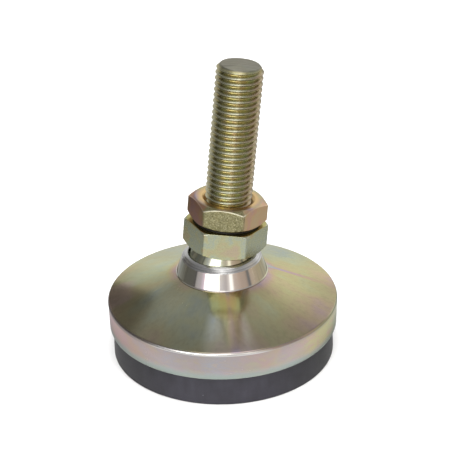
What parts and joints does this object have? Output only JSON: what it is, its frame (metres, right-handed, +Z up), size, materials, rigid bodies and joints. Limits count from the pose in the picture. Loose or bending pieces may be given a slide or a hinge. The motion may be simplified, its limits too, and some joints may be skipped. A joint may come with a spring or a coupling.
{
  "type": "swivel leveling foot",
  "caption": "Swivel leveling foot: threaded stud with hexagon and ball, jam nut, conical steel dish with a ball socket, and a rubber pad.",
  "frame": {"origin": "centre of the rubber pad's underside, on the axis of the dish", "axes": "+Z up along the dish's axis; the stud leans towards +X and a little towards +Y; -Y faces the front"},
  "size_m": [0.08, 0.08, 0.1052],
  "materials": {
    "dish_zinc": "smooth yellow zinc chromate, iridescent, satin",
    "plate_steel": "plain pressed steel",
    "pad_rubber": "matte black moulded rubber",
    "collar_steel": "bright turned bare steel with fine machining rings",
    "seat_plastic": "natural white bearing plastic",
    "stud_zinc": "yellow zinc chromate over rolled thread and turned hexagon",
    "washer_black": "matte black fibre washer",
    "nut_zinc": "yellow zinc chromate with a pink cast over a forged surface"
  },
  "bodies": {
    "base": {"base_shell": "dish_zinc", "backing_plate": "plate_steel", "rubber_pad": "pad_rubber", "socket_collar": "collar_steel"},
    "seat_lower": {"ball_seat": "seat_plastic"},
    "seat_upper": {"seat_ring": "seat_plastic"},
    "stud": {"swivel_stud": "stud_zinc"},
    "washer": {"nut_washer": "washer_black"},
    "nut": {"jam_nut": "nut_zinc"}
  },
  "joints": [
    {"name": "tilt_side", "type": "hinge", "parent": "base", "child": "seat_lower", "pos_m": [0, 0, 0.03], "axis": [0, 1, 0], "range_deg": [-13.3, 1.7]},
    {"name": "tilt_front", "type": "hinge", "parent": "seat_lower", "child": "seat_upper", "pos_m": [0, 0, 0.03], "axis": [0.9949, 0, -0.1011], "range_deg": [-5.1, 9.9]},
    {"name": "stud_spin", "type": "hinge", "parent": "seat_upper", "child": "stud", "pos_m": [0, 0, 0.03], "axis": [0.101, 0.0419, 0.994], "continuous": true},
    {"name": "nut_travel", "type": "slide", "parent": "stud", "child": "washer", "axis": [0.101, 0.0419, 0.994], "range_m": [0, 0.0455]},
    {"name": "nut_spin", "type": "hinge", "parent": "washer", "child": "nut", "pos_m": [0.00238, 0.00099, 0.05346], "axis": [0.101, 0.0419, 0.994], "range_deg": [-10, 8200]}
  ],
  "couplings": [
    {"joint": "nut_spin", "follows": "nut_travel", "rad_per_m": 3141.6}
  ]
}
